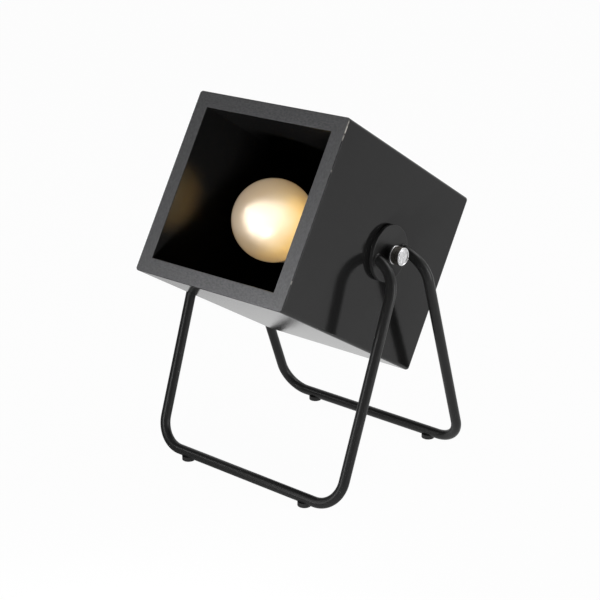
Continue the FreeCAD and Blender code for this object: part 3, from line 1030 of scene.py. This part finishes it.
@dataclass
class Pivot:
    """What sits on the pivot line at each side: plate, collar, thumb nut and hidden stud."""

    pivot: Vector
    plate_inner: float = 72.5 * MM
    plate_outer: float = 75.5 * MM
    plate_radius: float = 21.3 * MM
    plate_edge: float = 0.5 * MM
    bore_radius: float = 3.05 * MM
    nut_inner: float = 79.5 * MM
    nut_length: float = 7.0 * MM
    nut_radius: float = 7.0 * MM
    nut_rim: float = 1.0 * MM
    knurl_inset: float = 0.1 * MM
    knurl_depth: float = 0.4 * MM
    knurl_count: int = 34
    knurl_lead: float = 0.8
    coat: PowderCoat = PowderCoat("black_powder_coat_on_plate", "powder_coated_steel")

    def plate(self, side: Side) -> None:
        """Makes a round plate whose rims are quarter circles."""
        turn = np.linspace(0.0, math.pi / 2, 6)
        edge, bore = self.plate_edge, self.bore_radius
        rim = self.plate_radius - edge * (1 - np.cos(turn))
        radii = np.append(rim, [self.plate_radius - 2 * edge, bore + 0.1 * MM, bore])
        inset = np.append(edge * (1 - np.sin(turn)), np.zeros(3))
        inner = np.stack([self.plate_inner + inset, radii], axis=1)
        outer = np.stack([self.plate_outer - inset, radii], axis=1)
        profile = np.concatenate([inner[::-1], outer])
        name = side.name.lower()
        points = turned_on_pivot(profile, 128, side, self.pivot)
        replaced = (name + "_pivot_plate",)
        surface_piece(
            name + "_round_plate", points, Body.STAND, self.coat, replaced, wrap_rows=True
        )

    def nut(self, side: Side) -> None:
        """Makes the knurled barrel of the nut.

        The knurl is two sets of ridges, one wound each way: the radius drops by the depth times the
        larger of two triangle waves of angle plus and minus place along the nut.
        """
        rows, steps = 49, 340
        along = np.linspace(self.nut_rim / 2, self.nut_length, rows)[:, None]
        angle = np.linspace(0.0, 2 * math.pi, steps, endpoint=False)[None, :]
        lead = along / self.nut_radius * self.knurl_lead
        waves = [
            np.abs(((angle + way * lead) * self.knurl_count / (2 * math.pi)) % 1.0 - 0.5) * 2
            for way in (1, -1)
        ]
        radius = self.nut_radius - self.knurl_inset - self.knurl_depth * np.maximum(*waves)
        x = side.value * (self.nut_inner + along) + 0 * angle
        turn = angle * side.value
        points = np.stack([x, radius * np.cos(turn), radius * np.sin(turn)], axis=-1)
        name = side.name.lower()
        # Its tones are darker and browner than chrome: painted dark reflection of the plate and
        # board round it.
        finish = Metal(
            "chromed_knurled_brass", "chrome", "#A8A39D", "#4A453F", 0.26, 0.2, 0.9, bump_mm=0.02
        )
        surface_piece(
            name + "_knurled_nut",
            points[:, ::-1] + np.array(self.pivot),
            self.nut_body(side),
            finish,
            (name + "_thumb_nut",),
            capped=True,
        )

    def nut_body(self, side: Side) -> Body:
        """Gives the body that a side's nut turns with."""
        return Body.RIGHT_NUT if side is Side.RIGHT else Body.LEFT_NUT

    def polished_ends(self, side: Side) -> None:
        """Turns the bright ring at the nut's inner end and its end cap with a groove in the face.

        Each is a profile of straight runs, in millimetres from the nut's inner end and from its
        line. The cap's face rises to its middle by a parabola.
        """
        ring = [(0.0, 3.2), (0.0, 6.55), (0.05, 6.75), (0.25, 6.98), (0.35, 7.0)]
        ring += [(0.75, 7.0), (0.85, 6.98), (1.0, 6.8), (1.0, 3.2)]
        rim = [(7.1, 0.01), (7.1, 6.6), (7.15, 6.75), (7.3, 6.8), (7.75, 6.65), (7.9, 6.4)]
        groove = [(7.9, 6.05), (7.85, 5.95), (7.2, 5.85), (7.15, 5.75), (7.15, 5.2), (7.2, 5.1)]
        across = np.linspace(1.0, 0.002, 14)
        face = np.stack([8.0 - 0.2 * across**2, 4.9 * across], axis=1)
        cap = np.concatenate([rim, groove, [(7.75, 5.0)], face])
        chrome = Metal("polished_chrome_ring", "chrome", "#F0F0F2", "#D6D6D8", 0.12, 0.06, 2.0)
        buffed = Metal(
            "buffed_chrome_end_cap",
            "chrome",
            "#F4F4F5",
            "#BFBFC1",
            0.14,
            0.14,
            2.4,
            stretch=(1.0, 1.6, 0.5),
            bump_mm=0.03,
        )
        side_name = side.name.lower()
        for name, profile, finish, replaced in (
            ("_nut_inner_ring", np.array(ring), chrome, ()),
            ("_nut_end_cap", cap, buffed, (side_name + "_nut_face",)),
        ):
            place = np.array([self.nut_inner, 0.0]) + profile * MM
            points = turned_on_pivot(place, 96, side, self.pivot)
            body = self.nut_body(side)
            surface_piece(side_name + name, points, body, finish, replaced, wrap_rows=True)

    def build(self, frame: dict) -> None:
        """Makes both plates and nuts and dresses what stays as the CAD has it."""
        for side in Side:
            self.plate(side)
            self.nut(side)
            self.polished_ends(side)
        nylon = Moulded("black_nylon_collar", "black_plastic", "#131313", "#1B1B1B", 0.35, 0.6)
        fibre = Moulded("black_rubber_friction_washer", "rubber", "#131313", "#1A1A1A", 0.7, 0.8)
        zinc = Metal("zinc_plated_stud", "zinc_plated_steel", "#B6BABD", "#A2A6AA", 0.3)
        brass = Metal("turned_brass_insert", "brass", "#C4A15C", "#A98744", 0.3)
        for side in ("left_", "right_"):
            dress_nodes(frame, nylon, side + "nut_collar")
            dress_nodes(frame, fibre, side + "friction_washer")
            dress_nodes(frame, zinc, side + "pivot_stud")
            dress_nodes(frame, brass, side + "pivot_insert")


@dataclass
class WireStand:
    """Two U-shaped frames of bent wire, welded to the plates, on four stub feet."""

    pivot: Vector
    wire_radius: float = 4.0 * MM
    plate_outer: float = 75.5 * MM
    top_half_width: float = 94.2 * MM
    top_reach: float = 15.2 * MM
    bar_half_width: float = 90.5 * MM
    bar_reach: float = 77.5 * MM
    drop: float = 173.0 * MM
    upper_bend: float = 24.5 * MM
    lower_bend: float = 22.0 * MM
    ring_steps: int = 40
    end_sink: float = 0.2 * MM
    bead_sink: float = 0.1 * MM
    bead_width: float = 1.05 * MM
    bead_height: float = 1.3 * MM
    coat: PowderCoat = PowderCoat("black_powder_coat_on_wire", "powder_coated_steel")

    def path(self) -> np.ndarray:
        """Works out the front frame's centre line from plate to plate.

        Straight runs join four arcs. The first arc is cut where it meets the plate's face.

        Returns:
            The points in order, from the right plate down, across and up to the left one.
        """
        top = np.array([self.top_half_width, -self.top_reach, 0.0])
        foot = np.array([self.bar_half_width, -self.bar_reach, -self.drop])
        mirror = np.array([-1.0, 1.0, 1.0])
        inside = np.array([0.0, -self.top_reach, 0.0])
        upper = round_corner(inside, top, foot, self.upper_bend, 40)
        upper = upper[upper[:, 0] > self.plate_outer]
        lower = round_corner(top, foot, foot * mirror, self.lower_bend, 32)
        run = np.linspace(upper[-1], lower[0], 12)[1:-1]
        half = np.concatenate([upper, run, lower])
        bar = np.linspace(half[-1], half[-1] * mirror, 16)[1:-1]
        return np.concatenate([half, bar, (half * mirror)[::-1]])

    def frame_piece(self, name: str, node: str, turn: float) -> None:
        """Makes one frame as a circle carried along the path, its ends flat on the plates.

        Args:
            name: The piece's name.
            node: The CAD node that it stands for.
            turn: 1 for the front frame, or -1 to turn it half round for the rear one.
        """
        path = self.path()
        slope = np.array([0.0, self.top_reach - self.bar_reach, -self.drop])
        square = np.cross(slope / np.linalg.norm(slope), np.array([1.0, 0.0, 0.0]))
        rings = tube_along(path, square, self.wire_radius, self.ring_steps)
        rings[0, :, 0] = self.plate_outer - self.end_sink
        rings[-1, :, 0] = -self.plate_outer + self.end_sink
        rings = rings * np.array([turn, turn, 1.0]) + np.array(self.pivot)
        surface_piece(name, rings[:, ::-1], Body.STAND, self.coat, (node,), capped=True)

    def weld(self, side: Side, ahead: int) -> None:
        """Makes the weld bead round a wire's root.

        It is a quarter circle carried round the wire. The width of its foot is rippled by the
        welder's steps: a sine of 11 waves round the wire, and a smaller one of 17.

        Args:
            side: Which plate it is on.
            ahead: -1 for the front wire and 1 for the rear one.
        """
        start = self.path()[0]
        angle = np.linspace(0.0, 2 * math.pi, 64, endpoint=False)[None, :]
        climb = np.linspace(0.0, math.pi / 2, 8)[:, None]
        ripple = (0.12 * np.sin(11 * angle) + 0.06 * np.sin(17 * angle + 1)) * MM
        radius = self.wire_radius - self.bead_sink + (self.bead_width + ripple) * np.cos(climb)
        x = self.plate_outer - self.bead_sink + self.bead_height * np.sin(climb) + 0 * angle
        points = np.stack(
            [
                side.value * x,
                -ahead * start[1] + radius * np.cos(angle),
                start[2] + radius * np.sin(angle) * side.value,
            ],
            axis=-1,
        )
        row = "front" if ahead < 0 else "rear"
        surface_piece(
            f"{row}_{side.name.lower()}_weld_bead",
            points[:, ::-1] + np.array(self.pivot),
            Body.STAND,
            self.coat,
        )

    def build(self, frame: dict) -> None:
        """Makes both frames and their four welds and dresses the feet."""
        self.frame_piece("front_wire_frame", "front_leg_frame", 1.0)
        self.frame_piece("rear_wire_frame", "rear_leg_frame", -1.0)
        for side in Side:
            for ahead in (-1, 1):
                self.weld(side, ahead)
        rubber = Moulded("black_rubber_foot", "rubber", "#0F0F0F", "#171717", 0.6, 0.5)
        feet = [f"{row}_{side}_foot" for row in ("front", "rear") for side in ("left", "right")]
        dress_nodes(frame, rubber, *feet)


@dataclass(frozen=True)
class Softbox:
    """A soft rectangular lamp, with its middle, the point it faces, its width and height in metres.

    One that isn't lit reaches no matt surface, and one that isn't mirrored shows in no gloss.
    """

    name: str
    place: tuple[float, float, float]
    aim: tuple[float, float, float]
    size: tuple[float, float]
    watts: float
    lit: bool = True
    mirrored: bool = True

    def hang(self) -> None:
        """Hangs the lamp."""
        data = bpy.data.lights.new(self.name, "AREA")
        data.shape = "RECTANGLE"
        data.size, data.size_y = self.size
        data.energy = self.watts
        lamp = bpy.data.objects.new(self.name, data)
        lamp.location = self.place
        lamp.rotation_mode = "QUATERNION"
        facing = Vector(self.aim) - Vector(self.place)
        lamp.rotation_quaternion = facing.to_track_quat("-Z", "Y")
        lamp.visible_camera = False
        lamp.visible_diffuse = self.lit
        lamp.visible_glossy = self.mirrored
        bpy.context.scene.collection.objects.link(lamp)


@dataclass
class Studio:
    """The pale floor, the soft lamps, the white surroundings and the camera.

    Matt surfaces get the surround level, and gloss sees the sweep behind the lamp from dim to
    bright. The two strips are seen in gloss alone, where they draw soft streaks down the wires.
    """

    camera_place: tuple[float, float, float] = (0.69262, -0.82018, 0.51315)
    camera_forward: tuple[float, float, float] = (-0.610376, 0.716153, -0.338478)
    lens_mm: float = 89.2
    surround: float = 0.22
    sweep: tuple[float, float, float] = (0.35, 0.94, 0.0)
    dim: float = 0.12
    bright: float = 0.82
    world_span: tuple[float, float] = (-0.15, 0.35)
    floor_span: tuple[float, float] = (-0.17, 0.12)
    white_share: float = 0.97
    floor_reach: float = 4.0
    strip: tuple[float, float] = (0.1, 0.3)

    def camera(self) -> None:
        """Sets the camera where the photograph's corners put it."""
        data = bpy.data.cameras.new("photograph_camera")
        data.lens = self.lens_mm
        data.sensor_width = 36.0
        data.clip_end = 50.0
        camera = bpy.data.objects.new("photograph_camera", data)
        camera.location = self.camera_place
        camera.rotation_mode = "QUATERNION"
        camera.rotation_quaternion = Vector(self.camera_forward).to_track_quat("-Z", "Y")
        bpy.context.scene.collection.objects.link(camera)
        bpy.context.scene.camera = camera

    def seen_level(
        self, tree: bpy.types.NodeTree, place: bpy.types.NodeSocket, dark: float, bright: float
    ) -> tuple[bpy.types.Node, bpy.types.Node]:
        """Adds the level at which straight, mirrored and refracted rays see the white sweep.

        The sweep hangs behind the lamp, so mirrored rays see it bright there and dim in front.

        Args:
            tree: The node tree of the world or the floor.
            place: The direction or the point that the ray meets.
            dark: How far back, along the sweep's direction, it is still dim.
            bright: How far back it is fully bright.

        Returns:
            The node of a mask of those rays, and that of their level, 1 for the camera's own rays.
        """
        rays = add_node(tree, "LightPath").outputs
        camera, glossy, through = (
            rays[f"Is {kind} Ray"] for kind in ("Camera", "Glossy", "Transmission")
        )
        back = add_node(tree, "VectorMath", {0: place, 1: self.sweep}, operation="DOT_PRODUCT")
        mirrored = add_node(
            tree,
            "MapRange",
            {
                "Value": back.outputs["Value"],
                "From Min": dark,
                "From Max": bright,
                "To Min": self.dim,
                "To Max": self.bright,
            },
            interpolation_type="SMOOTHSTEP",
        )
        level = add_node(tree, "Mix", {0: camera, 2: mirrored, 3: 1.0}, data_type="FLOAT")
        straight = add_node(tree, "Math", {0: camera, 1: glossy}, operation="MAXIMUM")
        seen = add_node(tree, "Math", {0: straight, 1: through}, operation="MAXIMUM")
        return seen, level

    def world(self) -> None:
        """Surrounds the lamp with even light that looks white."""
        world = bpy.data.worlds.new("white_surroundings")
        world.use_nodes = True
        tree = world.node_tree
        tree.nodes.clear()
        direction = add_node(tree, "TexCoord").outputs["Generated"]
        seen, level = self.seen_level(tree, direction, *self.world_span)
        strength = add_node(tree, "Mix", {0: seen, 2: self.surround, 3: level}, data_type="FLOAT")
        light = add_node(tree, "Background", {"Color": linear("#FFFFFF"), "Strength": strength})
        add_node(tree, "OutputWorld", {"Surface": light})
        bpy.context.scene.world = world

    def floor(self) -> None:
        """Lays a white sweep under the lamp that keeps a faint shadow of it."""
        mesh = bpy.data.meshes.new("studio_floor")
        out = self.floor_reach
        square = [(-out, -out, 0), (out, -out, 0), (out, out, 0), (-out, out, 0)]
        mesh.from_pydata(square, [], [(0, 1, 2, 3)])
        floor = bpy.data.objects.new("studio_floor", mesh)
        bpy.context.scene.collection.objects.link(floor)
        made = bpy.data.materials.new("white_paper_sweep")
        made.use_nodes = True
        tree = made.node_tree
        tree.nodes.clear()
        place = add_node(tree, "TexCoord").outputs["Object"]
        seen, level = self.seen_level(tree, place, *self.floor_span)
        paper = add_node(tree, "BsdfDiffuse", {"Color": linear("#F2F2F2")})
        white = add_node(tree, "Emission", {"Color": linear("#FFFFFF"), "Strength": level})
        share = add_node(tree, "MapRange", {"Value": seen, "To Max": self.white_share})
        mixed = add_node(tree, "MixShader", {0: share, 1: paper, 2: white})
        add_node(tree, "OutputMaterial", {"Surface": mixed})
        mesh.materials.append(made)

    def lamps(self) -> tuple[Softbox, ...]:
        """Lists the lamps: a low one that lifts the sawn edges, the two strips, and two above."""
        low, strip, middle = (0.03, -0.1, 0.2), self.strip, (0.0, 0.0, 0.15)
        return (
            Softbox(
                "low_front_softbox", (0.17, -0.38, 0.025), low, (0.16, 0.05), 3.9, mirrored=False
            ),
            Softbox("front_strip", (-0.15, -0.5, 0.16), (0.0, -0.1, 0.12), strip, 0.6, lit=False),
            Softbox("right_strip", (0.5, 0.2, 0.16), (0.08, 0.0, 0.12), strip, 0.6, lit=False),
            Softbox("high_back_softbox", (0.35, 0.65, 1.05), middle, (0.6, 0.6), 3.0),
            Softbox("left_softbox", (-0.72, -0.62, 0.57), (0.0, 0.0, 0.2), (0.15, 0.15), 0.62),
        )

    def build(self) -> None:
        """Sets up the camera, the surroundings, the floor and the lamps."""
        bpy.context.scene.view_settings.view_transform = "Standard"
        self.camera()
        self.world()
        self.floor()
        for lamp in self.lamps():
            lamp.hang()


def corners(box: tuple[Vector, Vector]) -> list[list[float]]:
    """Turns a box's two corners to plain lists."""
    return [list(corner) for corner in box]


def main() -> None:
    logging.basicConfig(level=logging.INFO, format="%(name)s: %(message)s")
    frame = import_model()
    place = HeadPlace.of_record(frame)
    Housing(place).build(frame)
    Bulb(place).build(frame)
    LampHolder().build(frame)
    Pivot(place.pivot).build(frame)
    WireStand(place.pivot).build(frame)
    Studio().build()


if __name__ == "__main__":
    main()
